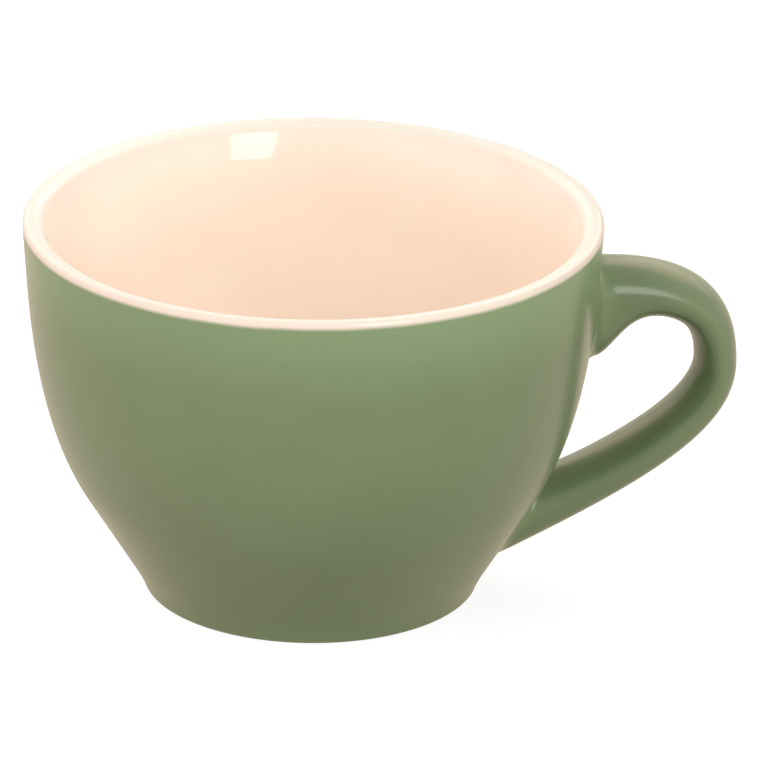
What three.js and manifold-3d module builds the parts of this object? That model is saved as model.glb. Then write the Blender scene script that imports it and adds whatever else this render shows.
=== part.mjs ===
// Cappuccino cup: a stoneware cup with a looped handle, satin green outside and glossy cream inside.
// Millimetres, +Z up. The handle points along +X, and the cup stands on its foot ring at z = 0.
import * as THREE from 'three';
import { mergeVertices } from 'three/addons/utils/BufferGeometryUtils.js';
import Module from 'manifold-3d';

const wasm = await Module();
wasm.setup();

// Cup wall, measured over the glaze
const CUP_HEIGHT = 62.2;
const RIM_RADIUS = 46;
const LIP_THICKNESS = 2.8;
const LIP_OUTER_ROUND = 0.7;
const LIP_INNER_ROUND = 3;
const LIP_TAPER = 6.5;
const LIP_TAPER_ANGLE = THREE.MathUtils.degToRad(25);
const THROAT_ROUND = 6;
const WALL_THICKNESS = 5.5;
const CREAM_DROP = 1.3;
const SHOULDER_RADIUS = 43.9;
const SHOULDER_HEIGHT = 29;
const SHOULDER_ROUND_BELOW = 13.6;
const SHOULDER_ROUND_ABOVE = 22.7;
const SHOULDER_ROUND_INSIDE = 14;

// Foot and floor
const FOOT_RADIUS = 26.9;
const FOOT_EDGE = 0.6;
const FOOT_TOP_RADIUS = 28;
const FOOT_HEIGHT = 3;
const WAIST_ROUND = 1.5;
const FOOT_RING_WIDTH = 3.6;
const RECESS_DEPTH = 2;
const FLOOR_THICKNESS = 4.5;
const FLOOR_ROUND = 11;

// Handle, measured over the glaze
const HANDLE_PROJECTION = 22.75;
const HANDLE_WIDTH = 13;
const UPPER_ROOT_DROP = 13.85;
const UPPER_ROOT_THICKNESS = 9.15;
const UPPER_RUN = 11.6;
const UPPER_BEND = 12.1;
const BEND_DROP = 13.7;
const BEND_THICKNESS = 6.55;
const LOWER_BEND = 10.7;
const LOWER_RUN = 17.1;
const LOWER_SLOPE = THREE.MathUtils.degToRad(25.7);
const LOWER_ROOT_HEIGHT = 8.25;
const LOWER_ROOT_THICKNESS = 8.1;
const GUSSET_DEPTH = 7.45;
const GUSSET_REACH = 5.65;
const ROOT_FLARE = 1.5;
const ROOT_FLARE_LENGTH = 3;

// Coats and joints
const GLAZE = 0.4;
const SLIP_THICKNESS = 1.2;
const SEAT_GAP = 0.3;

// Facets
const TURN_STEPS = 40;
const CURVE_STEPS = 6;
const RING_POINTS = 20;
const HANDLE_STEPS = 36;
const ROOT_CROWDING = 0.6;

// Heights and radii that follow from the sizes above
const creamEdge = CUP_HEIGHT - CREAM_DROP;
const floorHeight = RECESS_DEPTH + FLOOR_THICKNESS;
const ringOuter = FOOT_RADIUS - FOOT_EDGE;
const ringInner = ringOuter - FOOT_RING_WIDTH;
const recessRadius = ringInner - RECESS_DEPTH;
const coneSlope = (SHOULDER_RADIUS - FOOT_TOP_RADIUS) / (SHOULDER_HEIGHT - FOOT_HEIGHT);
const floorRadius = FOOT_TOP_RADIUS + (floorHeight - FOOT_HEIGHT) * coneSlope - WALL_THICKNESS;

// A corner of an outline, rounded over a length of each leg, or over the whole leg where that is shorter.
function roundCorner(path, before, corner, after, lengthBefore, lengthAfter) {
  const start = corner.clone().lerp(before, Math.min(1, lengthBefore / corner.distanceTo(before)));
  const end = corner.clone().lerp(after, Math.min(1, lengthAfter / corner.distanceTo(after)));
  path.lineTo(start.x, start.y);
  path.quadraticCurveTo(corner.x, corner.y, end.x, end.y);
}

// Outside of the wall from the foot's edge up to the cream: foot, cone, round shoulder and upper wall.
function outerOutline(inset) {
  const foot = new THREE.Vector2(FOOT_RADIUS - inset, FOOT_EDGE);
  const footTop = new THREE.Vector2(FOOT_TOP_RADIUS - inset, FOOT_HEIGHT);
  const shoulder = new THREE.Vector2(SHOULDER_RADIUS - inset, SHOULDER_HEIGHT);
  const rim = new THREE.Vector2(RIM_RADIUS - inset, creamEdge);
  const path = new THREE.Path();
  path.moveTo(foot.x, foot.y);
  roundCorner(path, foot, footTop, shoulder, WAIST_ROUND, WAIST_ROUND);
  roundCorner(path, footTop, shoulder, rim, SHOULDER_ROUND_BELOW, SHOULDER_ROUND_ABOVE);
  path.lineTo(rim.x, rim.y);
  return path.getPoints(CURVE_STEPS);
}

// Inside of the cup from the middle of its floor, over the lip and down to the edge of the cream outside,
// sunk into the clay by an inset. Near the top the inside slopes outwards, which thins the wall to the lip.
function insideOutline(inset) {
  const top = CUP_HEIGHT - inset;
  const middle = new THREE.Vector2(0, floorHeight - inset);
  const heel = new THREE.Vector2(floorRadius + inset, floorHeight - inset);
  const shoulder = new THREE.Vector2(SHOULDER_RADIUS - WALL_THICKNESS + inset, SHOULDER_HEIGHT);
  const lipInside = new THREE.Vector2(RIM_RADIUS - LIP_THICKNESS, CUP_HEIGHT);
  const throat = lipInside.clone();
  throat.x += inset - LIP_TAPER * Math.sin(LIP_TAPER_ANGLE);
  throat.y -= LIP_TAPER * Math.cos(LIP_TAPER_ANGLE);
  lipInside.x += inset - inset * Math.tan(LIP_TAPER_ANGLE);
  lipInside.y = top;
  const lipOutside = new THREE.Vector2(RIM_RADIUS - inset, top);
  const edge = new THREE.Vector2(RIM_RADIUS - inset, creamEdge);
  const outerRound = LIP_OUTER_ROUND - inset;
  const topRound = lipOutside.x - lipInside.x - outerRound;
  const slopeRound = throat.distanceTo(lipInside) - LIP_INNER_ROUND;
  const path = new THREE.Path();
  path.moveTo(middle.x, middle.y);
  roundCorner(path, middle, heel, shoulder, FLOOR_ROUND, FLOOR_ROUND);
  roundCorner(path, heel, shoulder, throat, SHOULDER_ROUND_BELOW, SHOULDER_ROUND_INSIDE);
  roundCorner(path, shoulder, throat, lipInside, THROAT_ROUND, slopeRound);
  roundCorner(path, throat, lipInside, lipOutside, LIP_INNER_ROUND, topRound);
  roundCorner(path, lipInside, lipOutside, edge, outerRound, outerRound);
  path.lineTo(edge.x, edge.y);
  return path.getPoints(CURVE_STEPS);
}

// Welds a geometry into one closed skin, without the flat triangles that a turned shape has on its axis.
function weld(geometry) {
  geometry.deleteAttribute('normal');
  geometry.deleteAttribute('uv');
  const welded = mergeVertices(geometry);
  const corners = welded.index.array;
  const kept = [];
  for (let i = 0; i < corners.length; i += 3) {
    const [a, b, c] = corners.slice(i, i + 3);
    if (a !== b && b !== c && c !== a) {
      kept.push(a, b, c);
    }
  }
  welded.setIndex(kept);
  return welded;
}

// An outline of (radius, height) points turned about the cup's upright axis.
function turned(points) {
  const geometry = new THREE.LatheGeometry(points, TURN_STEPS);
  geometry.rotateX(Math.PI / 2);
  return weld(geometry);
}

function solidOf(geometry) {
  const vertProperties = new Float32Array(geometry.attributes.position.array);
  const triVerts = new Uint32Array(geometry.index.array);
  return new wasm.Manifold(new wasm.Mesh({ numProp: 3, vertProperties, triVerts }));
}

function geometryOf(solid) {
  const mesh = solid.getMesh();
  const geometry = new THREE.BufferGeometry();
  geometry.setAttribute('position', new THREE.BufferAttribute(mesh.vertProperties, 3));
  geometry.setIndex(new THREE.BufferAttribute(mesh.triVerts, 1));
  return geometry;
}

// The cup filled solid and swollen by an offset, to cut the handle's pieces to the curve of the wall.
function filledCup(offset) {
  const outline = outerOutline(-offset);
  const top = CUP_HEIGHT + UPPER_ROOT_THICKNESS;
  const base = new THREE.Vector2(0, FOOT_EDGE);
  const brim = new THREE.Vector2(RIM_RADIUS + offset, top);
  const crown = new THREE.Vector2(0, top);
  return solidOf(turned([base, ...outline, brim, crown]));
}

// Radius of the glazed wall at a height.
function wallRadius(height) {
  const outline = outerOutline(0);
  const next = Math.max(1, outline.findIndex((point) => point.y >= height));
  const below = outline[next - 1];
  const above = outline[next];
  const share = (height - below.y) / (above.y - below.y);
  return THREE.MathUtils.lerp(below.x, above.x, THREE.MathUtils.clamp(share, 0, 1));
}

// Centre line of the handle in its own plane, as distance from the axis and height: out of the wall,
// round the bend and back down a long slope. Both ends run on into the wall, where they are cut off.
function handleCentreLine() {
  const upperHeight = CUP_HEIGHT - UPPER_ROOT_DROP;
  const upperRoot = wallRadius(upperHeight);
  const lowerRoot = wallRadius(LOWER_ROOT_HEIGHT);
  const reach = RIM_RADIUS + HANDLE_PROJECTION - BEND_THICKNESS / 2;
  const bendHeight = upperHeight - BEND_DROP;
  const slope = new THREE.Vector2(Math.cos(LOWER_SLOPE), Math.sin(LOWER_SLOPE));
  const runEnd = slope.clone().multiplyScalar(LOWER_RUN);
  const tail = slope.clone().multiplyScalar(LOWER_ROOT_THICKNESS);
  const path = new THREE.Path();
  path.moveTo(upperRoot - UPPER_ROOT_THICKNESS / 2, upperHeight);
  path.lineTo(upperRoot, upperHeight);
  path.bezierCurveTo(upperRoot + UPPER_RUN, upperHeight, reach, bendHeight + UPPER_BEND, reach, bendHeight);
  path.bezierCurveTo(
    reach, bendHeight - LOWER_BEND,
    lowerRoot + runEnd.x, LOWER_ROOT_HEIGHT + runEnd.y,
    lowerRoot, LOWER_ROOT_HEIGHT,
  );
  path.lineTo(lowerRoot - tail.x, LOWER_ROOT_HEIGHT - tail.y);
  return path;
}

// Cross-sections along the handle, closer together at its roots: ovals that thin towards the bend and
// deepen under the upper root, where the handle runs down the wall as a gusset.
function handleSections() {
  const path = handleCentreLine();
  const [rootStart, bendLength, rootEnd, fullLength] = path.getCurveLengths();
  const { lerp, smoothstep } = THREE.MathUtils;
  const sections = [];
  for (let step = 0; step <= HANDLE_STEPS; step += 1) {
    const turn = (2 * Math.PI * step) / HANDLE_STEPS;
    const share = (turn - ROOT_CROWDING * Math.sin(turn)) / (2 * Math.PI);
    const length = share * fullLength;
    const towardsBend = smoothstep(length, rootStart, bendLength);
    const pastBend = smoothstep(length, bendLength, rootEnd);
    const upperPart = lerp(UPPER_ROOT_THICKNESS, BEND_THICKNESS, towardsBend);
    const halfThickness = lerp(upperPart, LOWER_ROOT_THICKNESS, pastBend) / 2;
    const fromRoot = Math.max(0, length - rootStart) / GUSSET_REACH;
    sections.push({
      centre: path.getPoint(share),
      tangent: path.getTangent(share),
      outer: halfThickness,
      inner: halfThickness + GUSSET_DEPTH * Math.exp(-(fromRoot ** 2)),
    });
  }
  return sections;
}

// How far the handle's side flares out near the wall, at a point of its skin.
function rootFlare(point) {
  const gap = Math.hypot(point.x, point.y) - wallRadius(point.z);
  return ROOT_FLARE * (1 - THREE.MathUtils.clamp(gap / ROOT_FLARE_LENGTH, 0, 1)) ** 2;
}

// One oval ring of points round the handle, grown or shrunk by an offset, and flared at its roots.
function sectionRing(section, offset) {
  const { centre, tangent } = section;
  const ring = [];
  for (let i = 0; i < RING_POINTS; i += 1) {
    const angle = (2 * Math.PI * i) / RING_POINTS;
    const side = Math.sin(angle) >= 0 ? section.outer : section.inner;
    const out = Math.sin(angle) * (side + offset);
    const across = Math.cos(angle) * (HANDLE_WIDTH / 2 + offset);
    const point = new THREE.Vector3(centre.x - tangent.y * out, across, centre.y + tangent.x * out);
    point.y += Math.cos(angle) * rootFlare(point);
    ring.push(point);
  }
  return ring;
}

// A closed skin through the handle's sections, with a flat cap at each end.
function lofted(sections, offset) {
  const points = sections.flatMap((section) => sectionRing(section, offset));
  const lastRing = points.length - RING_POINTS;
  const startCap = points.length;
  const endCap = startCap + 1;
  const ends = [sections[0], sections[sections.length - 1]];
  for (const { centre } of ends) {
    points.push(new THREE.Vector3(centre.x, 0, centre.y));
  }
  const faces = [];
  for (let i = 0; i < RING_POINTS; i += 1) {
    const next = (i + 1) % RING_POINTS;
    for (let row = 0; row < lastRing; row += RING_POINTS) {
      const above = row + RING_POINTS;
      faces.push(row + i, row + next, above + i);
      faces.push(row + next, above + next, above + i);
    }
    faces.push(startCap, next, i);
    faces.push(endCap, lastRing + i, lastRing + next);
  }
  const geometry = new THREE.BufferGeometry().setFromPoints(points);
  geometry.setIndex(faces);
  return solidOf(geometry);
}

// Fired clay body: underside with its foot ring, outer wall, lip and inside
function cupBody() {
  const underside = [
    new THREE.Vector2(0, RECESS_DEPTH),
    new THREE.Vector2(recessRadius, RECESS_DEPTH),
    new THREE.Vector2(ringInner, 0),
    new THREE.Vector2(ringOuter, 0),
  ];
  const inside = insideOutline(GLAZE).reverse();
  return turned([...underside, ...outerOutline(GLAZE), ...inside.slice(1)]);
}

// Cream coat: up the inside and over the lip
function innerGlaze() {
  return turned([...insideOutline(GLAZE), ...insideOutline(0).reverse()]);
}

// Green coat on the wall, open where the handle's roots pass through it
function outerGlaze(sections) {
  const airSide = outerOutline(0);
  const claySide = outerOutline(GLAZE).reverse();
  const coat = solidOf(turned([...airSide, ...claySide, airSide[0]]));
  return geometryOf(coat.subtract(lofted(sections, SEAT_GAP)));
}

// Coat in the recess inside the foot ring, which stays bare
function baseGlaze() {
  return turned([
    new THREE.Vector2(0, RECESS_DEPTH - GLAZE),
    new THREE.Vector2(recessRadius, RECESS_DEPTH - GLAZE),
    new THREE.Vector2(ringInner - FOOT_EDGE - GLAZE, FOOT_EDGE),
    new THREE.Vector2(ringInner - FOOT_EDGE, FOOT_EDGE),
    new THREE.Vector2(recessRadius, RECESS_DEPTH),
    new THREE.Vector2(0, RECESS_DEPTH),
  ]);
}

// Clay of the handle, ending where the slip on each root begins
function handleClay(sections) {
  const slipTop = SEAT_GAP + SLIP_THICKNESS - GLAZE;
  return geometryOf(lofted(sections, -GLAZE).subtract(filledCup(slipTop + SEAT_GAP)));
}

// Layer of slip that joins one root of the handle to the wall
function luting(rootSections) {
  const slipBottom = SEAT_GAP - GLAZE;
  const layer = filledCup(slipBottom + SLIP_THICKNESS).subtract(filledCup(slipBottom));
  return geometryOf(lofted(rootSections, -GLAZE).intersect(layer));
}

// Green coat round the handle, meeting the coat on the wall
function handleGlaze(sections) {
  const coat = lofted(sections, 0).subtract(lofted(sections, -GLAZE));
  return geometryOf(coat.subtract(filledCup(SEAT_GAP)));
}

const biscuit = new THREE.MeshStandardMaterial({ color: 0xd8c9b2, roughness: 0.85, metalness: 0 });
const slip = new THREE.MeshStandardMaterial({ color: 0xcdbda4, roughness: 0.9, metalness: 0 });
const satinGreen = new THREE.MeshStandardMaterial({ color: 0x84936c, roughness: 0.42, metalness: 0 });
const glossCream = new THREE.MeshStandardMaterial({ color: 0xf7e3cb, roughness: 0.12, metalness: 0 });

const cup = new THREE.Group();

function addPiece(name, geometry, material) {
  geometry.computeVertexNormals();
  const piece = new THREE.Mesh(geometry, material);
  piece.name = name;
  cup.add(piece);
}

const sections = handleSections();
const middle = Math.round(HANDLE_STEPS / 2);
addPiece('cup_body', cupBody(), biscuit);
addPiece('handle', handleClay(sections), biscuit);
addPiece('upper_joint', luting(sections.slice(0, middle)), slip);
addPiece('lower_joint', luting(sections.slice(middle)), slip);
addPiece('inner_glaze', innerGlaze(), glossCream);
addPiece('outer_glaze', outerGlaze(sections), satinGreen);
addPiece('handle_glaze', handleGlaze(sections), satinGreen);
addPiece('base_glaze', baseGlaze(), satinGreen);

// The origin lies on the table under the middle of the cup's length, from the wall to the handle's bend.
cup.position.x = -HANDLE_PROJECTION / 2;

export default cup;
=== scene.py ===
"""Cappuccino cup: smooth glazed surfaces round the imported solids, on a white studio floor."""

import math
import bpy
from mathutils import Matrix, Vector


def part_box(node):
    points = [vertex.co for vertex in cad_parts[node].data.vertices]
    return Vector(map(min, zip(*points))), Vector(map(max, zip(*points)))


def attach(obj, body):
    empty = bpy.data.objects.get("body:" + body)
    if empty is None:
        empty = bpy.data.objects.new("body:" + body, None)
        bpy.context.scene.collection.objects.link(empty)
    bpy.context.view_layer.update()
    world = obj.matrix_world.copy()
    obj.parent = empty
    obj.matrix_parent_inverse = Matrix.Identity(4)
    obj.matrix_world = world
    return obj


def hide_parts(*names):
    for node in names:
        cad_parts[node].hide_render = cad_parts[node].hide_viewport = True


bl_info = {
    "name": "Cappuccino Cup",
    "version": (1, 0, 0),
    "blender": (4, 5, 0),
    "location": "View3D > Sidebar > Cup",
    "description": "Stoneware cup with a looped handle, satin green outside and glossy cream inside",
    "category": "Add Mesh",
}

from collections import namedtuple

import bmesh
import bpy
import numpy as np
from bpy.props import FloatProperty, FloatVectorProperty, IntProperty, PointerProperty
from mathutils import Matrix, Vector

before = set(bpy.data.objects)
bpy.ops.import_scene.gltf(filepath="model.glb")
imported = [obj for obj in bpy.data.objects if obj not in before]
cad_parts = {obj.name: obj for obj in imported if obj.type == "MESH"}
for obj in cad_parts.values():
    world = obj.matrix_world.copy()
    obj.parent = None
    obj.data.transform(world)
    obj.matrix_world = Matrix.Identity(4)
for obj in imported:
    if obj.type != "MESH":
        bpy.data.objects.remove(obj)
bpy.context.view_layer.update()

MM = 0.001
BODY = "root"
CREAM_LOW, CREAM_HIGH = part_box("inner_glaze")
AXIS_X = (CREAM_LOW.x + CREAM_HIGH.x) / 2
WHITE = (1, 1, 1)
WELD_DISTANCE = 0.0005 * MM
SHARP_ANGLE = math.radians(50)
MIRROR_BOUNCES = 12  # The glossy inside mirrors itself again and again where it is seen edge-on.
NOISE_LOW, NOISE_HIGH = 0.3, 0.7  # Most of a noise texture's values lie between these.


def linear(hex_colour):
    """Linear red, green and blue of an sRGB hex colour."""
    shares = np.array([int(hex_colour[i : i + 2], 16) for i in (0, 2, 4)]) / 255
    return tuple(np.where(shares > 0.04045, ((shares + 0.055) / 1.055) ** 2.4, shares / 12.92))


def length(name, description, millimetres):
    """A length property, given in millimetres and kept in metres."""
    return FloatProperty(
        name=name, description=description, default=millimetres * MM, unit="LENGTH", precision=5
    )


def angle(name, description, degrees):
    """An angle property, given in degrees and kept in radians."""
    return FloatProperty(
        name=name, description=description, default=math.radians(degrees), subtype="ANGLE"
    )


def count(name, description, steps):
    """A property that counts facets."""
    return IntProperty(name=name, description=description, default=steps, min=3)


def colour(name, description, hex_colour):
    """A colour property, given as an sRGB hex value and kept as a linear colour."""
    return FloatVectorProperty(
        name=name, description=description, default=linear(hex_colour), subtype="COLOR", min=0, max=1
    )


class CupWallSizes(bpy.types.PropertyGroup):
    """Sizes of the turned cup, measured over its glaze"""

    rim_radius: length("Rim radius", "Outside of the lip", (CREAM_HIGH.x - CREAM_LOW.x) / 2 / MM)
    height: length("Height", "Table to the top of the lip", CREAM_HIGH.z / MM)
    lip_thickness: length("Lip thickness", "Top of the lip, before rounding", 2.8)
    lip_outer_round: length("Lip outer round", "Rounding of the lip's outer edge", 1.0)
    lip_inner_round: length("Lip inner round", "How far the lip's inner rounding reaches", 1.8)
    lip_taper: length("Lip taper", "Length of the slope inside the lip, where the wall thins", 6.5)
    lip_taper_angle: angle("Lip taper angle", "Lean of that slope from upright", 25)
    throat_round: length("Throat round", "How far the foot of that slope is rounded down the wall", 6.0)
    slope_round: length("Slope round", "How far it is rounded up the slope", 3.5)
    cream_drop: length("Cream drop", "How far the cream glaze reaches down outside the lip", 1.1)
    wall_thickness: length("Wall thickness", "Wall below the taper, measured level", 5.5)
    shoulder_radius: length("Shoulder radius", "Corner of cone and upper wall, before rounding", 43.9)
    shoulder_height: length("Shoulder height", "Height of that corner", 29.0)
    shoulder_round_below: length("Shoulder round below", "How far the rounding reaches down", 13.6)
    shoulder_round_above: length("Shoulder round above", "How far the rounding reaches up", 22.7)
    shoulder_round_inside: length("Shoulder round inside", "How far it reaches up inside", 14.0)
    foot_radius: length("Foot radius", "Outside of the foot at its lower edge", 26.9)
    foot_edge: length("Foot edge", "Height of the bare bevel under the glaze", 0.6)
    foot_top_radius: length("Foot top radius", "Corner of foot and cone, before rounding", 28.0)
    foot_height: length("Foot height", "Height of that corner", 3.0)
    waist_round: length("Waist round", "How far the rounding of that corner reaches", 1.5)
    ring_width: length("Foot ring width", "Flat bare ring that stands on the table", 3.6)
    recess_depth: length("Recess depth", "Hollow inside the foot ring", 2.0)
    floor_thickness: length("Floor thickness", "Clay and glaze between recess and cavity", 4.5)
    floor_round: length("Floor round", "How far the cavity's rounded corner reaches", 11.0)
    glaze: length("Glaze", "Thickness of a glaze coat", 0.4)
    edge_waver: length("Edge waver", "How far the line between the two glazes strays", 0.12)
    turn_steps: count("Turn steps", "Facets round the cup", 288)


class CupHandleSizes(bpy.types.PropertyGroup):
    """Sizes of the looped handle, measured over its glaze"""

    projection: length("Projection", "How far the handle reaches past the rim", 22.75)
    width: length("Width", "Handle from side to side", 13.0)
    upper_root_drop: length("Upper root drop", "Lip to the middle of the upper root", 13.85)
    upper_root_thickness: length("Upper root thickness", "Depth of the arm at the wall", 9.15)
    upper_run: length("Upper run", "Level stretch of the upper arm", 11.6)
    upper_bend: length("Upper bend", "Upright stretch above the bend", 12.1)
    bend_drop: length("Bend drop", "Upper root down to the bend", 13.7)
    bend_thickness: length("Bend thickness", "Depth of the handle at its bend", 6.55)
    lower_bend: length("Lower bend", "Upright stretch below the bend", 10.7)
    lower_run: length("Lower run", "Straight stretch of the lower arm", 17.1)
    lower_slope: angle("Lower slope", "Rise of the lower arm from the wall", 25.7)
    lower_root_height: length("Lower root height", "Table to the middle of the lower root", 8.25)
    lower_root_thickness: length("Lower root thickness", "Depth of the arm at the wall", 8.1)
    gusset_depth: length("Gusset depth", "How far the upper arm runs down the wall", 7.45)
    gusset_reach: length("Gusset reach", "How far out the gusset fades", 5.65)
    side_fillet: length("Side fillet", "Rounding between the upper arm's sides and the wall", 3.8)
    lower_fillet: length("Lower fillet", "Rounding between the lower arm's sides and the wall", 3.8)
    top_round: length("Top round", "How far the upper arm's top drops at the wall", 0.45)
    heel_round: length("Heel round", "How far the gusset's underside runs on down the wall", 0.4)
    heel_slope: FloatProperty(
        name="Heel slope", description="Fall of the gusset's underside in the wall's curve", default=0.45
    )
    tuck_depth: length("Tuck depth", "How much higher the lower arm's underside gets at the wall", 0.38)
    crook_depth: length("Crook depth", "How much higher the lower arm's top gets at the wall", 2.1)
    crook_reach: length("Crook reach", "How far from the wall that rise fades", 9.0)
    root_reach: length("Root reach", "Least length of a root's rounding along the arm", 1.4)
    around_steps: count("Around steps", "Facets round the arm", 72)
    along_steps: count("Along steps", "Facets along the arm", 150)
    fillet_steps: count("Fillet steps", "Facets of a root's rounding", 12)


class CupFinishes(bpy.types.PropertyGroup):
    """Colours of the glazes and the clay"""

    green: colour("Green glaze", "Satin sage green of the outside", "8a9b74")
    green_deep: colour("Deep green", "Where the green glaze pools", "83946c")
    # Painted light: a lighter, greener colour that stands in for the key lamp's light on the upper wall.
    green_lit_top: colour("Thin green", "Where the green glaze thins towards the lip", "91a77b")
    cream: colour("Cream glaze", "Glossy cream of the inside and the lip", "fcf1e3")
    cream_deep: colour("Deep cream", "Where the cream glaze pools", "f9e6d3")
    # Painted light: a lighter cream that stands in for the light falling from above on the top of the lip.
    cream_lit_lip: colour("Lip cream", "Lighter cream on the lip", "fefaea")
    cream_thin: colour("Thin cream", "Where the cream glaze thins on the lip's outer face", "ffeeda")
    biscuit: colour("Biscuit", "Bare fired clay of the foot ring", "d8c9b2")
    biscuit_grit: colour("Grit", "Darker grains in the clay", "b09c80")
    slip: colour("Slip", "Clay slip that joins the handle", "cdbda4")
    speck: colour("Speck", "Iron specks and pinholes in the glaze", "565c43")


class CupStage(bpy.types.PropertyGroup):
    """Camera, floor and lights"""

    camera_turn: angle("Camera turn", "Camera's way round the cup from the handle's square view", -8.5)
    camera_rise: angle("Camera rise", "Camera's height above the horizon", 22.46)
    camera_roll: angle("Camera roll", "Lean of the camera", 0.48)
    camera_distance: length("Camera distance", "Camera to the cup's axis", 1150)
    aim_height: length("Aim height", "Height on the axis that the camera's rise is measured at", 27.6)
    frame_right: length("Frame right", "Middle of the picture, right of the axis", 10.89)
    frame_up: length("Frame up", "Middle of the picture, above the aim height", 6.11)
    sensor_width: FloatProperty(name="Sensor width", description="Sensor in millimetres", default=36)
    focal_length: FloatProperty(name="Focal length", description="Lens in millimetres", default=340.6)
    floor_colour: colour("Floor", "Matt paint of the studio floor", "959391")
    floor_lift: FloatProperty(
        name="Floor lift", description="White added where the floor is seen", default=0.86
    )
    floor_mirrored: colour("Floor mirrored", "Warm white of the floor in the glaze", "d2bda6")
    world_mirrored: colour("World mirrored", "Warm white of the room in the glaze", "fffaf0")
    world_strength: FloatProperty(name="World", description="Light from all round", default=0.02)


HandleLine = namedtuple("HandleLine", "length centre along root_start bend root_end")

# Soft studio lamps: degrees round the cup from the camera and above the horizon, metres away, metres wide
# and high, watts, tint, and whether the glaze mirrors the lamp.
Softbox = namedtuple("Softbox", "name turn rise distance width height watts tint mirrored")
SOFTBOXES = (
    Softbox("key_softbox", 27.9, 26.4, 1.6, 0.52, 0.92, 7.0, "ffffff", True),
    Softbox("left_fill", -45, 30, 1.6, 0.8, 0.8, 10.0, "ffffff", False),
    Softbox("right_fill", 60, 8, 1.6, 0.8, 0.4, 8.6, "ffffff", False),
    Softbox("left_card", -75, 9, 1.6, 0.8, 0.4, 7.2, "ffeced", False),
    Softbox("high_left_card", -100, 55, 1.6, 0.8, 0.8, 4.4, "ffffff", False),
    Softbox("back_fill", 180, 30, 1.6, 0.9, 0.9, 15.6, "ffffff", False),
    Softbox("back_left_card", -150, 35, 1.6, 1.2, 1.0, 3.8, "ffbeac", True),
    Softbox("back_right_card", 150, 35, 1.6, 1.2, 1.0, 5.1, "ffccc4", True),
)

# A narrow lamp into the cup: degrees round it from the camera and above the horizon, metres away, the
# spot it shines on in metres right of the cup's axis, behind it and up, degrees of its cone, and watts.
Snoot = namedtuple("Snoot", "name turn rise distance right behind up cone watts")
INSIDE_SNOOT = Snoot("inside_snoot", 45, 38, 1.2, -0.030, 0.021, 0.034, 4.2, 22)


def rounded_corner(before, corner, after, length_before, length_after, steps):
    """A corner of an outline, rounded: (1-t)^2 a + 2t(1-t) corner + t^2 b, where a and b lie the given
    lengths from the corner along its two legs."""
    leg_before = before - corner
    leg_after = after - corner
    start = corner + leg_before * min(1.0, length_before / np.linalg.norm(leg_before))
    end = corner + leg_after * min(1.0, length_after / np.linalg.norm(leg_after))
    t = np.linspace(0, 1, steps)[:, None]
    return (1 - t) ** 2 * start + 2 * t * (1 - t) * corner + t**2 * end


def straight(start, end, steps):
    """Points spaced evenly from start to just before end."""
    t = np.linspace(0, 1, steps, endpoint=False)[:, None]
    return start + (end - start) * t


def cream_edge(wall):
    """Height of the line outside the lip where the cream glaze ends and the green one begins."""
    return wall.height - wall.cream_drop


def outside_outline(wall, inset):
    """Outside of the wall as (radius, height), from the foot's edge to the cream: a steep foot, a rounded
    waist, a straight cone, a round shoulder and a nearly upright wall."""
    step = np.array([inset, 0])
    foot = np.array([wall.foot_radius, wall.foot_edge]) - step
    foot_top = np.array([wall.foot_top_radius, wall.foot_height]) - step
    shoulder = np.array([wall.shoulder_radius, wall.shoulder_height]) - step
    rim = np.array([wall.rim_radius, cream_edge(wall)]) - step
    waist = rounded_corner(foot, foot_top, shoulder, wall.waist_round, wall.waist_round, 9)
    bulge = rounded_corner(
        foot_top, shoulder, rim, wall.shoulder_round_below, wall.shoulder_round_above, 40
    )
    return np.vstack(
        [straight(foot, waist[0], 6), waist[:-1], straight(waist[-1], bulge[0], 18), bulge[:-1],
         straight(bulge[-1], rim, 14), rim]
    )


def inside_outline(wall, inset):
    """Inside of the cup as (radius, height), sunk into the clay by an inset, from the middle of its floor
    to the cream's edge: a flat floor, a rounded corner, a sloped side, a round shoulder, an upright wall,
    a slope that thins the lip, and the lip, rolled wide inside and tight outside."""
    lean = wall.lip_taper_angle
    floor_height = wall.recess_depth + wall.floor_thickness
    cone = (wall.shoulder_radius - wall.foot_top_radius) / (wall.shoulder_height - wall.foot_height)
    floor_radius = wall.foot_top_radius + (floor_height - wall.foot_height) * cone - wall.wall_thickness
    lip_radius = wall.rim_radius - wall.lip_thickness + inset
    middle = np.array([0, floor_height - inset])
    heel = np.array([floor_radius + inset, floor_height - inset])
    shoulder = np.array([wall.shoulder_radius - wall.wall_thickness + inset, wall.shoulder_height])
    slope = np.array([math.sin(lean), math.cos(lean)])
    throat = np.array([lip_radius, wall.height]) - wall.lip_taper * slope
    lip_inside = np.array([lip_radius - inset * math.tan(lean), wall.height - inset])
    lip_outside = np.array([wall.rim_radius - inset, wall.height - inset])
    edge = np.array([wall.rim_radius - inset, cream_edge(wall)])
    outer_round = wall.lip_outer_round - inset
    bottom = rounded_corner(middle, heel, shoulder, wall.floor_round, wall.floor_round, 16)
    bulge = rounded_corner(
        heel, shoulder, throat, wall.shoulder_round_below, wall.shoulder_round_inside, 30
    )
    flare = rounded_corner(shoulder, throat, lip_inside, wall.throat_round, wall.slope_round, 24)
    roll = rounded_corner(throat, lip_inside, lip_outside, wall.lip_inner_round, wall.lip_inner_round, 20)
    rim = rounded_corner(lip_inside, lip_outside, edge, outer_round, outer_round, 12)
    return np.vstack(
        [straight(middle, bottom[0], 8), bottom[:-1], straight(bottom[-1], bulge[0], 10), bulge[:-1],
         straight(bulge[-1], flare[0], 14), flare[:-1], straight(flare[-1], roll[0], 6), roll[:-1],
         straight(roll[-1], rim[0], 4), rim[:-1], straight(rim[-1], edge, 4), edge]
    )


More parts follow.
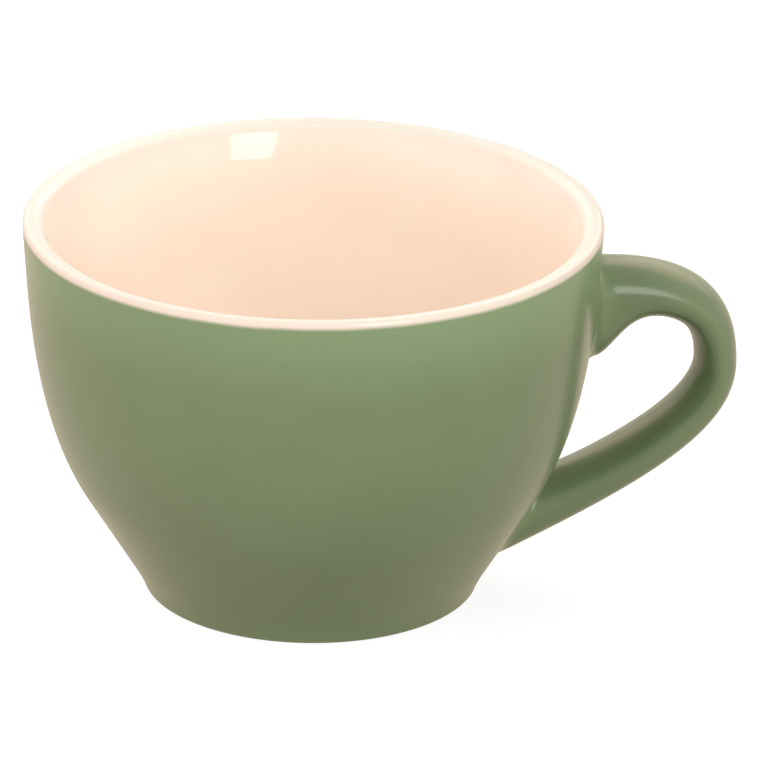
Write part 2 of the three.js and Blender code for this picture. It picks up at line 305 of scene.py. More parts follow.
def foot_bead(wall):
    """Lower edge of the green coat as (radius, height): a bead that rounds in over the foot's bare bevel,
    from a start well under the foot by way of a corner just inside its edge."""
    start_share = 0.9
    corner_share = 0.1
    low = wall.foot_edge / 5
    start = np.array([wall.foot_radius - start_share * wall.foot_edge, low])
    corner = np.array([wall.foot_radius - corner_share * wall.foot_edge, low])
    end = np.array([wall.foot_radius, wall.foot_edge])
    return rounded_corner(start, corner, end, wall.foot_edge, wall.foot_edge, 8)


def underside_outline(wall):
    """Underside of the clay as (radius, height): recess ceiling, slope to the foot ring, flat ring."""
    ring_outer = wall.foot_radius - wall.foot_edge
    ring_inner = ring_outer - wall.ring_width
    recess_radius = ring_inner - wall.recess_depth
    ceiling = np.array([0, wall.recess_depth])
    recess = np.array([recess_radius, wall.recess_depth])
    inner = np.array([ring_inner, 0])
    outer = np.array([ring_outer, 0])
    bevel = np.array([wall.foot_radius - wall.glaze, wall.foot_edge])
    soft = wall.foot_edge / 2
    return np.vstack(
        [straight(ceiling, recess, 8),
         rounded_corner(ceiling, recess, inner, soft, soft, 5),
         rounded_corner(recess, inner, outer, soft, soft, 5),
         rounded_corner(inner, outer, bevel, soft, soft, 5)]
    )


def turned(outline, steps):
    """An outline of (radius, height) points turned about the cup's axis: (axis + r cos a, r sin a, h)."""
    a = np.linspace(0, 2 * math.pi, steps, endpoint=False)
    radius = outline[:, :1]
    x = AXIS_X + radius * np.cos(a)
    y = radius * np.sin(a)
    z = np.broadcast_to(outline[:, 1:], x.shape)
    return np.stack([x, y, z], axis=-1)


def grid_faces(rows, columns, closed):
    """Corners of each four-sided cell of a grid whose columns, and rows if closed, meet themselves."""
    row = np.arange(rows if closed else rows - 1)[:, None]
    column = np.arange(columns)[None, :]
    next_row = (row + 1) % rows
    next_column = (column + 1) % columns
    corners = [row * columns + column, row * columns + next_column,
               next_row * columns + next_column, next_row * columns + column]
    return np.stack(np.broadcast_arrays(*corners), axis=-1).reshape(-1, 4)


def add_piece(name, grid, closed, material, slot, *nodes):
    """Makes a piece from a grid of points, welds its poles and seams, turns its faces outwards, and
    stands it in for CAD nodes on the cup's one body."""
    rows, columns, _ = grid.shape
    mesh = bpy.data.meshes.new(name)
    mesh.from_pydata(grid.reshape(-1, 3).tolist(), [], grid_faces(rows, columns, closed).tolist())
    shell = bmesh.new()
    shell.from_mesh(mesh)
    bmesh.ops.remove_doubles(shell, verts=shell.verts, dist=WELD_DISTANCE)
    bmesh.ops.recalc_face_normals(shell, faces=shell.faces)
    shell.to_mesh(mesh)
    shell.free()
    mesh.shade_smooth()
    mesh.set_sharp_from_angle(angle=SHARP_ANGLE)
    mesh.materials.append(material)
    piece = bpy.data.objects.new(name, mesh)
    bpy.context.scene.collection.objects.link(piece)
    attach(piece, BODY)
    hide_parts(*nodes)
    return piece


def smooth_step(value, start, end):
    """0 before start, 1 after end, and 3t^2 - 2t^3 between them."""
    t = np.clip((value - start) / (end - start), 0, 1)
    return t * t * (3 - 2 * t)


def cubic(points, steps):
    """Cubic curve of four control points: (1-t)^3 a + 3t(1-t)^2 b + 3t^2(1-t) c + t^3 d."""
    t = np.linspace(0, 1, steps, endpoint=False)[:, None]
    a, b, c, d = (np.array(point) for point in points)
    return (1 - t) ** 3 * a + 3 * t * (1 - t) ** 2 * b + 3 * t**2 * (1 - t) * c + t**3 * d


def wall_radius(wall, height):
    """Radius of the glazed wall at a height, read off its outline."""
    outline = outside_outline(wall, 0)
    return np.interp(height, outline[:, 1], outline[:, 0])


def handle_line(wall, handle):
    """Centre line of the handle as (distance from the axis, height): level out of the wall, round the
    bend in two cubic curves and down a long slope into the wall, with the length walked to each point."""
    upper_height = wall.height - handle.upper_root_drop
    upper = np.array([wall_radius(wall, upper_height), upper_height])
    lower = np.array([wall_radius(wall, handle.lower_root_height), handle.lower_root_height])
    bend = np.array([wall.rim_radius + handle.projection - handle.bend_thickness / 2,
                     upper_height - handle.bend_drop])
    slope = np.array([math.cos(handle.lower_slope), math.sin(handle.lower_slope)])
    start = upper - [handle.upper_root_thickness / 2, 0]
    end = lower - slope * handle.lower_root_thickness
    steps = 400
    upper_arm = cubic([upper, upper + [handle.upper_run, 0], bend + [0, handle.upper_bend], bend], steps)
    below_bend = bend - [0, handle.lower_bend]
    lower_arm = cubic([bend, below_bend, lower + slope * handle.lower_run, lower], steps)
    tail = straight(lower, end, steps)
    centre = np.vstack([straight(start, upper, steps), upper_arm, lower_arm, tail, end])
    gaps = np.linalg.norm(np.diff(centre, axis=0), axis=1)
    walked = np.concatenate([[0], np.cumsum(gaps)])
    along = np.gradient(centre, walked, axis=0)
    along /= np.linalg.norm(along, axis=1, keepdims=True)
    return HandleLine(walked, centre, along, walked[steps], walked[2 * steps], walked[3 * steps])


def handle_point(handle, line, walked, turn, growth):
    """Points of the handle's skin about the cup's axis: centre + normal * depth * sin(turn) and
    half the width * cos(turn) to the side. The arm thins to the bend and thickens again. Under the
    upper root it deepens as a gusset by gusset_depth * exp(-(distance / gusset_reach)^2), and goes on
    deepening by a slope inside the wall's curve. On top of the lower root it rises in the same way as a
    gusset by a crook, and there its underside is tucked up."""
    centre_x = np.interp(walked, line.length, line.centre[:, 0])
    centre_z = np.interp(walked, line.length, line.centre[:, 1])
    along_x = np.interp(walked, line.length, line.along[:, 0])
    along_z = np.interp(walked, line.length, line.along[:, 1])
    to_bend = smooth_step(walked, line.root_start, line.bend)
    from_bend = smooth_step(walked, line.bend, line.root_end)
    thinning = handle.upper_root_thickness - handle.bend_thickness
    upper_part = handle.upper_root_thickness - thinning * to_bend
    thickness = upper_part + (handle.lower_root_thickness - upper_part) * from_bend
    from_root = np.maximum(0, walked - line.root_start) / handle.gusset_reach
    heel = handle.heel_slope * np.maximum(0, line.root_start - walked)
    gusset = handle.gusset_depth * np.exp(-(from_root**2)) + heel
    to_root = np.maximum(0, line.root_end - walked) / handle.crook_reach
    crook = handle.crook_depth * np.exp(-(to_root**2))
    tuck = handle.tuck_depth * smooth_step(walked, line.root_end, line.length[-1])
    deeper = np.where(np.sin(turn) < 0, gusset + crook, -tuck)
    out = np.sin(turn) * (thickness / 2 + deeper + growth)
    across = np.cos(turn) * (handle.width / 2 + growth)
    place = np.broadcast_arrays(centre_x - along_z * out, across, centre_z + along_x * out)
    return np.stack(place, axis=-1)


def wall_crossing(wall, handle, line, turn, growth, buried, clear):
    """Length along the centre line where the handle's skin meets the wall, found by halving the span
    between a length inside the wall and one clear of it."""
    halvings = 40
    outline = outside_outline(wall, 0)
    buried = np.full_like(turn, buried)
    clear = np.full_like(turn, clear)
    for _ in range(halvings):
        middle = (buried + clear) / 2
        point = handle_point(handle, line, middle, turn, growth)
        reach = np.hypot(point[..., 0], point[..., 1])
        inside = reach < np.interp(point[..., 2], outline[:, 1], outline[:, 0])
        buried = np.where(inside, middle, buried)
        clear = np.where(inside, clear, middle)
    return clear


def wall_normal(wall, point):
    """Direction square to the glazed wall at points on it: outwards, and down by the outline's slope."""
    outline = outside_outline(wall, 0)
    slope = np.interp(point[..., 2], outline[:, 1], np.gradient(outline[:, 0], outline[:, 1]))
    radius = np.hypot(point[..., 0], point[..., 1])
    normal = np.stack([point[..., 0], point[..., 1], -slope * radius], axis=-1)
    return normal / np.linalg.norm(normal, axis=-1, keepdims=True)


def root_fillet(wall, handle, line, turn, growth, buried):
    """Rounding of one root: for each turn the curve (1-t)^2 a + 2t(1-t) c + t^2 b, from a on the wall,
    by way of c, to b on the skin. The root grows by a growth where it meets the wall, and c is then the
    corner of wall and skin, moved out until the curve leaves the wall without a crease. Where the growth
    is less than nothing the root shrinks, and c lies on the skin. Returns the curves and where b lies."""
    reach = np.hypot(growth, handle.root_reach) * np.sign(line.bend - buried)
    corner_length = wall_crossing(wall, handle, line, turn, 0, buried, line.bend)
    wall_length = wall_crossing(wall, handle, line, turn, growth, buried, line.bend)
    skin_length = corner_length + reach
    on_wall = handle_point(handle, line, wall_length, turn, growth)
    corner = handle_point(handle, line, corner_length, turn, 0)
    normal = wall_normal(wall, on_wall)
    moved = corner + normal * np.sum((on_wall - corner) * normal, axis=-1, keepdims=True)
    halfway = handle_point(handle, line, corner_length + reach / 2, turn, 0)
    corner = np.where(growth[:, None] < 0, halfway, moved)
    on_skin = handle_point(handle, line, skin_length, turn, 0)
    t = np.linspace(0, 1, handle.fillet_steps)[:, None, None]
    return (1 - t) ** 2 * on_wall + 2 * t * (1 - t) * corner + t**2 * on_skin, skin_length


def handle_skin(wall, handle):
    """Outer skin of the handle's coat as a grid: the upper root's rounding, the arm, and the lower
    root's rounding, each row a ring round the arm. The roundings grow with a power of |cos(turn)| on the
    arm's sides, and the upper one shrinks on top and grows underneath with sin(turn)^4."""
    line = handle_line(wall, handle)
    turn = np.linspace(0, 2 * math.pi, handle.around_steps, endpoint=False)
    sideness = np.abs(np.cos(turn))
    topness = np.clip(np.sin(turn), 0, 1) ** 4
    underness = np.clip(-np.sin(turn), 0, 1) ** 4
    upper_sideness = np.where(np.sin(turn) > 0, sideness**4, sideness)
    upper_growth = (handle.side_fillet * upper_sideness - handle.top_round * topness
                    + handle.heel_round * underness)
    lower_growth = handle.lower_fillet * sideness**2
    far_end = line.length[-1]
    upper, upper_end = root_fillet(wall, handle, line, turn, upper_growth, 0)
    lower, lower_end = root_fillet(wall, handle, line, turn, lower_growth, far_end)
    share = np.linspace(0, 1, handle.along_steps)[1:-1, None]
    walked = upper_end + (lower_end - upper_end) * share
    arm = handle_point(handle, line, walked, turn[None, :], 0)
    return np.vstack([upper, arm, lower[::-1]])


def handle_lining(wall, handle):
    """Inner skin of the handle's coat, one glaze thickness under the outer one, from wall to wall."""
    line = handle_line(wall, handle)
    turn = np.linspace(0, 2 * math.pi, handle.around_steps, endpoint=False)
    start = wall_crossing(wall, handle, line, turn, -wall.glaze, 0, line.bend)
    end = wall_crossing(wall, handle, line, turn, -wall.glaze, line.length[-1], line.bend)
    share = np.linspace(0, 1, handle.along_steps // 2)[:, None]
    return handle_point(handle, line, start + (end - start) * share, turn[None, :], -wall.glaze)


def add_node(tree, kind, inputs=None, **settings):
    """Adds a node with its settings, and sets or links its inputs by name or number."""
    node = tree.nodes.new(kind)
    for name, value in settings.items():
        setattr(node, name, value)
    for name, value in (inputs or {}).items():
        if isinstance(value, bpy.types.NodeSocket):
            tree.links.new(value, node.inputs[name])
        else:
            node.inputs[name].default_value = value
    return node


def new_material(name):
    """An empty node material and its tree."""
    material = bpy.data.materials.new(name)
    material.use_nodes = True
    material.node_tree.nodes.clear()
    return material, material.node_tree


def opaque(rgb):
    """A colour with full alpha, as node sockets hold it."""
    return (*rgb, 1.0)


def glaze_line(tree, place, wall):
    """Share of the upper glaze, from 0 to 1, where the two glazes run into each other outside the lip,
    along a line that strays a little up and down."""
    stray_size = 7 * MM
    run = 0.4 * MM
    edge = cream_edge(wall)
    height = add_node(tree, "ShaderNodeSeparateXYZ", {"Vector": place}).outputs["Z"]
    stray = add_node(tree, "ShaderNodeTexNoise", {"Vector": place, "Scale": 1 / stray_size, "Detail": 1.0})
    shift = add_node(tree, "ShaderNodeMapRange", {
        "Value": stray.outputs["Fac"], "To Min": -wall.edge_waver, "To Max": wall.edge_waver})
    strayed = add_node(tree, "ShaderNodeMath", {0: height, 1: shift.outputs[0]})
    above = add_node(tree, "ShaderNodeMapRange", {
        "Value": strayed.outputs[0], "From Min": edge - run, "From Max": edge + run},
        interpolation_type="SMOOTHSTEP")
    return above.outputs[0]


def within_lip(tree, place, wall):
    """1 inside the cup and on top of its lip, falling to 0 over the rounding of the lip's outer edge."""
    parts = add_node(tree, "ShaderNodeSeparateXYZ", {"Vector": place}).outputs
    from_axis = add_node(tree, "ShaderNodeMath", {0: parts["X"], 1: AXIS_X}, operation="SUBTRACT")
    level = add_node(tree, "ShaderNodeCombineXYZ", {"X": from_axis.outputs[0], "Y": parts["Y"]})
    radius = add_node(tree, "ShaderNodeVectorMath", {0: level.outputs[0]}, operation="LENGTH")
    within = add_node(tree, "ShaderNodeMapRange", {
        "Value": radius.outputs["Value"], "From Min": wall.rim_radius - wall.lip_outer_round,
        "From Max": wall.rim_radius, "To Min": 1.0, "To Max": 0.0}, interpolation_type="SMOOTHSTEP")
    return within.outputs[0]


def satin_green_glaze(wall, finishes):
    """Satin stoneware glaze, dipped and fired: an even sage green with faint clouds where it pooled, a
    lighter green painted over the upper wall for the key lamp's light, a line where it runs into the cream
    at the lip, a few iron specks and a soft eggshell sheen."""
    cloud_size = 11 * MM
    lit_top_reach = 14 * MM
    speck_spacing = 5.5 * MM
    speck_radius = 0.16 * MM
    speck_chance = 0.38
    smoothest = 0.21
    roughest = 0.26
    peel_size = 1.6 * MM
    peel_depth = 0.008 * MM
    material, tree = new_material("satin_green_stoneware_glaze")
    place = add_node(tree, "ShaderNodeTexCoord").outputs["Object"]
    cloud = add_node(tree, "ShaderNodeTexNoise", {
        "Vector": place, "Scale": 1 / cloud_size, "Detail": 3.0, "Roughness": 0.55})
    pooled = add_node(tree, "ShaderNodeMix", {
        0: cloud.outputs["Fac"], 6: opaque(finishes.green_deep), 7: opaque(finishes.green)},
        data_type="RGBA")
    height = add_node(tree, "ShaderNodeSeparateXYZ", {"Vector": place}).outputs["Z"]
    # Painted light: the green is blended lighter up the wall to the cream's edge, for the key lamp's light
    # there.
    lit_top_share = add_node(tree, "ShaderNodeMapRange", {
        "Value": height, "From Min": cream_edge(wall) - lit_top_reach, "From Max": cream_edge(wall)},
        interpolation_type="SMOOTHSTEP")
    lit_topped = add_node(tree, "ShaderNodeMix", {
        0: lit_top_share.outputs[0], 6: pooled.outputs[2], 7: opaque(finishes.green_lit_top)}, data_type="RGBA")
    joined = add_node(tree, "ShaderNodeMix", {
        0: glaze_line(tree, place, wall), 6: lit_topped.outputs[2], 7: opaque(finishes.cream_thin)},
        data_type="RGBA")
    cells = add_node(tree, "ShaderNodeTexVoronoi", {"Vector": place, "Scale": 1 / speck_spacing})
    near = add_node(tree, "ShaderNodeMath", {
        0: cells.outputs["Distance"], 1: speck_radius / speck_spacing}, operation="LESS_THAN")
    chance = add_node(tree, "ShaderNodeSeparateColor", {"Color": cells.outputs["Color"]}).outputs[0]
    chosen = add_node(tree, "ShaderNodeMath", {0: chance, 1: 1 - speck_chance}, operation="GREATER_THAN")
    speck = add_node(tree, "ShaderNodeMath", {
        0: near.outputs[0], 1: chosen.outputs[0]}, operation="MULTIPLY")
    speckled = add_node(tree, "ShaderNodeMix", {
        0: speck.outputs[0], 6: joined.outputs[2], 7: opaque(finishes.speck)}, data_type="RGBA")
    gloss = add_node(tree, "ShaderNodeMapRange", {
        "Value": cloud.outputs["Fac"], "From Min": NOISE_LOW, "From Max": NOISE_HIGH,
        "To Min": smoothest, "To Max": roughest})
    peel = add_node(tree, "ShaderNodeTexNoise", {"Vector": place, "Scale": 1 / peel_size, "Detail": 2.0})
    bump = add_node(tree, "ShaderNodeBump", {
        "Height": peel.outputs["Fac"], "Strength": 1.0, "Distance": peel_depth})
    shader = add_node(tree, "ShaderNodeBsdfPrincipled", {
        "Base Color": speckled.outputs[2], "Roughness": gloss.outputs[0], "IOR": 1.46,
        "Normal": bump.outputs[0]})
    add_node(tree, "ShaderNodeOutputMaterial", {"Surface": shader.outputs[0]})
    return material


def gloss_cream_glaze(wall, finishes):
    """Glossy cream glaze, poured and fired: warm and even, with faint drifts of tone, a lighter cream
    painted on the lip's top for the light from above, hardly any specks and mirror-like highlights that
    ripple a little."""
    drift_size = 16 * MM
    lit_lip_low = 1.2 * MM
    lit_lip_top = 0.3 * MM
    smoothest = 0.05
    roughest = 0.09
    ripple_size = 5 * MM
    ripple_depth = 0.006 * MM
    material, tree = new_material("gloss_cream_glaze")
    place = add_node(tree, "ShaderNodeTexCoord").outputs["Object"]
    drift = add_node(tree, "ShaderNodeTexNoise", {
        "Vector": place, "Scale": 1 / drift_size, "Detail": 2.0, "Roughness": 0.5})
    tone = add_node(tree, "ShaderNodeMix", {
        0: drift.outputs["Fac"], 6: opaque(finishes.cream_deep), 7: opaque(finishes.cream)},
        data_type="RGBA")
    height = add_node(tree, "ShaderNodeSeparateXYZ", {"Vector": place}).outputs["Z"]
    # Painted light: the top of the lip is blended to a lighter cream for the light that falls on it from
    # above.
    topness = add_node(tree, "ShaderNodeMapRange", {
        "Value": height, "From Min": wall.height - lit_lip_low, "From Max": wall.height - lit_lip_top},
        interpolation_type="SMOOTHSTEP")
    lip = add_node(tree, "ShaderNodeMix", {
        0: topness.outputs[0], 6: tone.outputs[2], 7: opaque(finishes.cream_lit_lip)}, data_type="RGBA")
    within = within_lip(tree, place, wall)
    edged = add_node(tree, "ShaderNodeMix", {
        0: within, 6: opaque(finishes.cream_thin), 7: lip.outputs[2]}, data_type="RGBA")
    share = add_node(tree, "ShaderNodeMath", {
        0: glaze_line(tree, place, wall), 1: within}, operation="MAXIMUM")
    # Below the glaze line outside the lip, this coat takes the green that is painted lighter for the key
    # lamp's light.
    joined = add_node(tree, "ShaderNodeMix", {
        0: share.outputs[0], 6: opaque(finishes.green_lit_top), 7: edged.outputs[2]}, data_type="RGBA")
    gloss = add_node(tree, "ShaderNodeMapRange", {
        "Value": drift.outputs["Fac"], "From Min": NOISE_LOW, "From Max": NOISE_HIGH,
        "To Min": smoothest, "To Max": roughest})
    ripple = add_node(tree, "ShaderNodeTexNoise", {
        "Vector": place, "Scale": 1 / ripple_size, "Detail": 1.0})
    bump = add_node(tree, "ShaderNodeBump", {
        "Height": ripple.outputs["Fac"], "Strength": 1.0, "Distance": ripple_depth})
    shader = add_node(tree, "ShaderNodeBsdfPrincipled", {
        "Base Color": joined.outputs[2], "Roughness": gloss.outputs[0], "IOR": 1.5,
        "Normal": bump.outputs[0]})
    add_node(tree, "ShaderNodeOutputMaterial", {"Surface": shader.outputs[0]})
    return material


def bare_clay(name, base, grit_colour):
    """Fired clay left bare, wiped and dry: matt, fine grained, with darker grit and a dry tooth."""
    grain_size = 0.9 * MM
    grit_spacing = 1.7 * MM
    grit_core = 0.10
    grit_reach = 0.22
    grit_strength = 0.7
    tooth_depth = 0.03 * MM
    dryness = 0.88
    material, tree = new_material(name)
    place = add_node(tree, "ShaderNodeTexCoord").outputs["Object"]
    grain = add_node(tree, "ShaderNodeTexNoise", {
        "Vector": place, "Scale": 1 / grain_size, "Detail": 4.0, "Roughness": 0.6})
    grit = add_node(tree, "ShaderNodeTexVoronoi", {"Vector": place, "Scale": 1 / grit_spacing})
    dark = add_node(tree, "ShaderNodeMapRange", {
        "Value": grit.outputs["Distance"], "From Min": grit_core, "From Max": grit_reach,
        "To Min": grit_strength, "To Max": 0.0})
    mottled = add_node(tree, "ShaderNodeMix", {
        0: grain.outputs["Fac"], 6: opaque(grit_colour), 7: opaque(base)}, data_type="RGBA")
    gritty = add_node(tree, "ShaderNodeMix", {
        0: dark.outputs[0], 6: mottled.outputs[2], 7: opaque(grit_colour)}, data_type="RGBA")
    bump = add_node(tree, "ShaderNodeBump", {
        "Height": grain.outputs["Fac"], "Strength": 1.0, "Distance": tooth_depth})
    shader = add_node(tree, "ShaderNodeBsdfPrincipled", {
        "Base Color": gritty.outputs[2], "Roughness": dryness, "IOR": 1.5, "Normal": bump.outputs[0]})
    add_node(tree, "ShaderNodeOutputMaterial", {"Surface": shader.outputs[0]})
    return material


class CUP_OT_clay_body(bpy.types.Operator):
    """Fired clay of the cup: foot ring, wall and floor, bare only under the foot"""

    bl_idname = "cup.clay_body"
    bl_label = "Clay body"

    def execute(self, context):
        wall = context.scene.cup_wall
        finishes = context.scene.cup_finishes
        outside = outside_outline(wall, wall.glaze)
        inside = inside_outline(wall, wall.glaze)[::-1]
        outline = np.vstack([underside_outline(wall), outside, inside])
        clay = bare_clay("biscuit_stoneware", finishes.biscuit, finishes.biscuit_grit)
        add_piece("cup_body_clay", turned(outline, wall.turn_steps), False, clay,
                  "biscuit_stoneware", "cup_body")
        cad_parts["handle"].data.materials[0] = clay
        return {"FINISHED"}


class CUP_OT_slip_joints(bpy.types.Operator):
    """Slip that joins the handle's roots to the wall, under the glaze"""

    bl_idname = "cup.slip_joints"
    bl_label = "Slip joints"

    def execute(self, context):
        finishes = context.scene.cup_finishes
        slip = bare_clay("luting_slip", finishes.slip, finishes.biscuit_grit)
        for node in ("upper_joint", "lower_joint"):
            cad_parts[node].data.materials[0] = slip
        return {"FINISHED"}


class CUP_OT_cream_glaze(bpy.types.Operator):
    """Glossy cream coat inside the cup and over its lip"""

    bl_idname = "cup.cream_glaze"
    bl_label = "Cream glaze"

    def execute(self, context):
        wall = context.scene.cup_wall
        outline = np.vstack([inside_outline(wall, 0), inside_outline(wall, wall.glaze)[::-1]])
        cream = gloss_cream_glaze(wall, context.scene.cup_finishes)
        add_piece("inner_glaze_coat", turned(outline, wall.turn_steps), False, cream,
                  "gloss_cream_glaze", "inner_glaze")
        return {"FINISHED"}


class CUP_OT_green_glaze(bpy.types.Operator):
    """Satin green coats on the wall, round the handle and in the recess under the foot"""

    bl_idname = "cup.green_glaze"
    bl_label = "Green glaze"

    def execute(self, context):
        wall = context.scene.cup_wall
        handle = context.scene.cup_handle
        green = satin_green_glaze(wall, context.scene.cup_finishes)
        clay_side = outside_outline(wall, wall.glaze)[::-1]
        coat = np.vstack([foot_bead(wall)[:-1], outside_outline(wall, 0), clay_side])
        add_piece("outer_glaze_coat", turned(coat, wall.turn_steps), True, green,
                  "satin_green_glaze", "outer_glaze")
        loop = np.vstack([handle_skin(wall, handle), handle_lining(wall, handle)[::-1]])
        loop[..., 0] += AXIS_X
        add_piece("handle_glaze_coat", loop, True, green, "satin_green_glaze", "handle_glaze")
        ring_inner = wall.foot_radius - wall.foot_edge - wall.ring_width
        recess_radius = ring_inner - wall.recess_depth
        ceiling = np.array([0, wall.recess_depth])
        recess = np.array([recess_radius, wall.recess_depth])
        edge = np.array([ring_inner - wall.foot_edge, wall.foot_edge])
        drop = np.array([0, wall.glaze])
        inward = np.array([wall.glaze, 0])
        base = np.vstack(
            [straight(ceiling - drop, recess - drop, 8), straight(recess - drop, edge - inward, 4),
             edge - inward, edge, straight(recess, ceiling, 8), ceiling]
        )
        add_piece("base_glaze_coat", turned(base, wall.turn_steps), False, green,
                  "satin_green_glaze", "base_glaze")
        return {"FINISHED"}


def seen_white(tree, mirrored):
    """How strongly surroundings show as white, 1 to the camera, in gloss and through glass and 0 as light
    on the cup, and the colour they show: white, or a warmer one where the glaze mirrors them."""
    rays = add_node(tree, "ShaderNodeLightPath").outputs
    seen = add_node(tree, "ShaderNodeMath", {
        0: rays["Is Camera Ray"], 1: rays["Is Glossy Ray"]}, operation="MAXIMUM")
    seen = add_node(tree, "ShaderNodeMath", {
        0: seen.outputs[0], 1: rays["Is Transmission Ray"]}, operation="MAXIMUM")
    tint = add_node(tree, "ShaderNodeMix", {
        0: rays["Is Glossy Ray"], 6: opaque(WHITE), 7: opaque(mirrored)}, data_type="RGBA")
    return seen.outputs[0], tint.outputs[2]


def studio_floor(stage):
    """Matt studio floor, lifted to white where the camera and the glaze see it, so that it keeps the
    cup's soft shadow and throws back no more light on the cup than its paint does."""
    material, tree = new_material("studio_floor")
    seen, tint = seen_white(tree, stage.floor_mirrored)
    lift = add_node(tree, "ShaderNodeMath", {0: seen, 1: stage.floor_lift}, operation="MULTIPLY")
    white = add_node(tree, "ShaderNodeEmission", {"Color": tint, "Strength": lift.outputs[0]})
    matt = add_node(tree, "ShaderNodeBsdfDiffuse", {"Color": opaque(stage.floor_colour)})
    lifted = add_node(tree, "ShaderNodeAddShader", {0: matt.outputs[0], 1: white.outputs[0]})
    add_node(tree, "ShaderNodeOutputMaterial", {"Surface": lifted.outputs[0]})
    return material


def studio_world(stage):
    """World that lights the cup evenly, and shows as white to the camera and in reflections."""
    world = bpy.data.worlds.new("studio_world")
    world.use_nodes = True
    tree = world.node_tree
    tree.nodes.clear()
    seen, tint = seen_white(tree, stage.world_mirrored)
    light = add_node(tree, "ShaderNodeBackground", {
        "Color": opaque(WHITE), "Strength": stage.world_strength})
    white = add_node(tree, "ShaderNodeBackground", {"Color": tint, "Strength": 1.0})
    mix = add_node(tree, "ShaderNodeMixShader", {0: seen, 1: light.outputs[0], 2: white.outputs[0]})
    add_node(tree, "ShaderNodeOutputWorld", {"Surface": mix.outputs[0]})
    return world


def stand_lamp(lamp, place, target, camera_turn, mirrored):
    """Stands a lamp so that it faces a target, at the turn, rise and distance that its place gives."""
    turn = camera_turn + math.radians(place.turn)
    rise = math.radians(place.rise)
    away = Vector((math.sin(turn) * math.cos(rise), -math.cos(turn) * math.cos(rise), math.sin(rise)))
    stand = bpy.data.objects.new(lamp.name, lamp)
    stand.location = target + away * place.distance
    stand.rotation_euler = away.to_track_quat("Z", "Y").to_euler()
    stand.visible_camera = False
    stand.visible_glossy = mirrored
    bpy.context.scene.collection.objects.link(stand)


def add_softbox(box, target, camera_turn):
    """A rectangular lamp that lights the whole cup."""
    lamp = bpy.data.lights.new(box.name, "AREA")
    lamp.shape = "RECTANGLE"
    lamp.size = box.width
    lamp.size_y = box.height
    lamp.energy = box.watts
    lamp.color = linear(box.tint)
    stand_lamp(lamp, box, target, camera_turn, box.mirrored)


def add_snoot(snoot, camera_turn):
    """A lamp whose soft narrow beam goes past the lip and lights one side of the inside."""
    bulb_radius = 0.02
    lamp = bpy.data.lights.new(snoot.name, "SPOT")
    lamp.energy = snoot.watts
    lamp.spot_size = math.radians(snoot.cone)
    lamp.spot_blend = 1.0
    lamp.shadow_soft_size = bulb_radius
    to_side = Matrix.Rotation(camera_turn, 3, "Z")
    target = Vector((AXIS_X, 0, 0)) + to_side @ Vector((snoot.right, snoot.behind, snoot.up))
    stand_lamp(lamp, snoot, target, camera_turn, False)


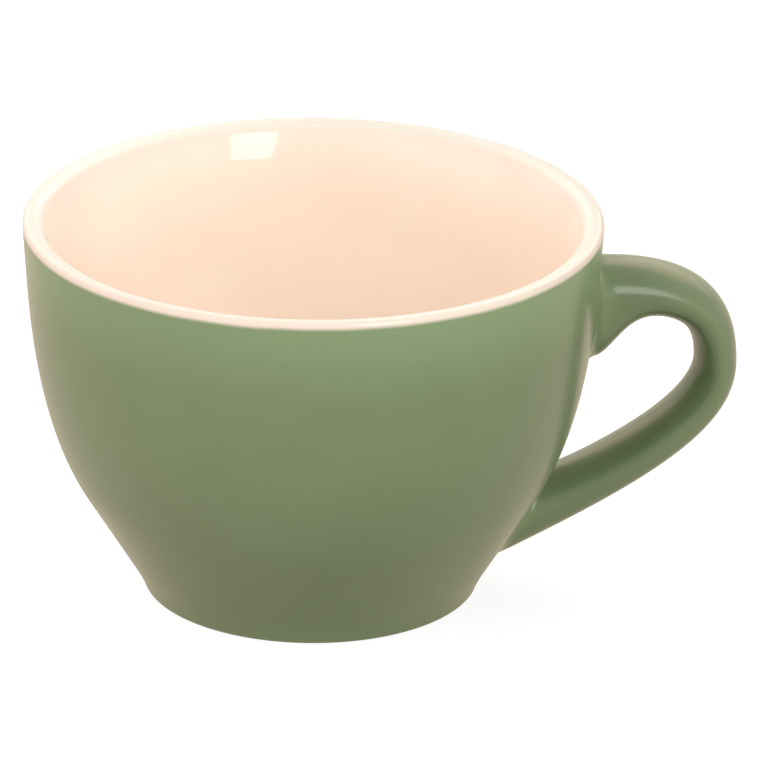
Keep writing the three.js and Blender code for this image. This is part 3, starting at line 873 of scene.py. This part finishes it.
class CUP_OT_stage(bpy.types.Operator):
    """White floor and surroundings, lamps and the camera"""

    bl_idname = "cup.stage"
    bl_label = "Stage"

    def execute(self, context):
        scene = context.scene
        stage = scene.cup_stage
        scene.view_settings.view_transform = "Standard"
        scene.cycles.glossy_bounces = MIRROR_BOUNCES
        scene.world = studio_world(stage)
        self.add_floor(stage)
        self.add_camera(scene, stage)
        target = Vector((AXIS_X, 0, stage.aim_height))
        for box in SOFTBOXES:
            add_softbox(box, target, stage.camera_turn)
        add_snoot(INSIDE_SNOOT, stage.camera_turn)
        return {"FINISHED"}

    def add_floor(self, stage):
        """A round flat floor about the cup's axis, as one face of many sides."""
        radius = 6.0
        sides = 64
        mesh = bpy.data.meshes.new("floor")
        a = np.linspace(0, 2 * math.pi, sides, endpoint=False)
        ring = np.column_stack([AXIS_X + radius * np.cos(a), radius * np.sin(a), np.zeros_like(a)])
        mesh.from_pydata(ring.tolist(), [], [list(range(len(ring)))])
        mesh.materials.append(studio_floor(stage))
        floor = bpy.data.objects.new("floor", mesh)
        bpy.context.scene.collection.objects.link(floor)

    def add_camera(self, scene, stage):
        """A long lens at the photograph's height and turn, looking a little right of the cup's axis."""
        rise = stage.camera_rise
        turn = stage.camera_turn
        back = Vector((math.sin(turn) * math.cos(rise), -math.cos(turn) * math.cos(rise), math.sin(rise)))
        right = Vector((math.cos(turn), math.sin(turn), 0))
        up = back.cross(right)
        leaned_right = right * math.cos(stage.camera_roll) + up * math.sin(stage.camera_roll)
        leaned_up = up * math.cos(stage.camera_roll) - right * math.sin(stage.camera_roll)
        aim = Vector((AXIS_X, 0, stage.aim_height))
        eye = aim + back * stage.camera_distance
        target = aim + leaned_right * stage.frame_right + leaned_up * stage.frame_up
        view_back = (eye - target).normalized()
        view_right = leaned_up.cross(view_back).normalized()
        view_up = view_back.cross(view_right)
        camera = bpy.data.cameras.new("camera")
        camera.sensor_width = stage.sensor_width
        camera.lens = stage.focal_length
        stand = bpy.data.objects.new("camera", camera)
        turned_view = Matrix((view_right, view_up, view_back)).transposed().to_4x4()
        stand.matrix_world = Matrix.Translation(eye) @ turned_view
        scene.collection.objects.link(stand)
        scene.camera = stand


class CUP_PT_panel(bpy.types.Panel):
    """Lists the cup's pieces and their sizes"""

    bl_idname = "CUP_PT_panel"
    bl_label = "Cappuccino cup"
    bl_space_type = "VIEW_3D"
    bl_region_type = "UI"
    bl_category = "Cup"

    def draw(self, context):
        for operator in OPERATORS:
            self.layout.operator(operator.bl_idname)
        for settings in SETTINGS:
            group = getattr(context.scene, settings)
            column = self.layout.column()
            for name in group.bl_rna.properties.keys():
                if name not in ("rna_type", "name"):
                    column.prop(group, name)


OPERATORS = (CUP_OT_clay_body, CUP_OT_slip_joints, CUP_OT_cream_glaze, CUP_OT_green_glaze, CUP_OT_stage)
SETTINGS = {
    "cup_wall": CupWallSizes,
    "cup_handle": CupHandleSizes,
    "cup_finishes": CupFinishes,
    "cup_stage": CupStage,
}


def register():
    for group in SETTINGS.values():
        bpy.utils.register_class(group)
    for operator in OPERATORS:
        bpy.utils.register_class(operator)
    bpy.utils.register_class(CUP_PT_panel)
    for name, group in SETTINGS.items():
        setattr(bpy.types.Scene, name, PointerProperty(type=group))


def unregister():
    for name in SETTINGS:
        delattr(bpy.types.Scene, name)
    bpy.utils.unregister_class(CUP_PT_panel)
    for operator in reversed(OPERATORS):
        bpy.utils.unregister_class(operator)
    for group in reversed(SETTINGS.values()):
        bpy.utils.unregister_class(group)


def main():
    register()
    bpy.ops.cup.stage()
    bpy.ops.cup.clay_body()
    bpy.ops.cup.slip_joints()
    bpy.ops.cup.cream_glaze()
    bpy.ops.cup.green_glaze()


if __name__ == "__main__":
    main()
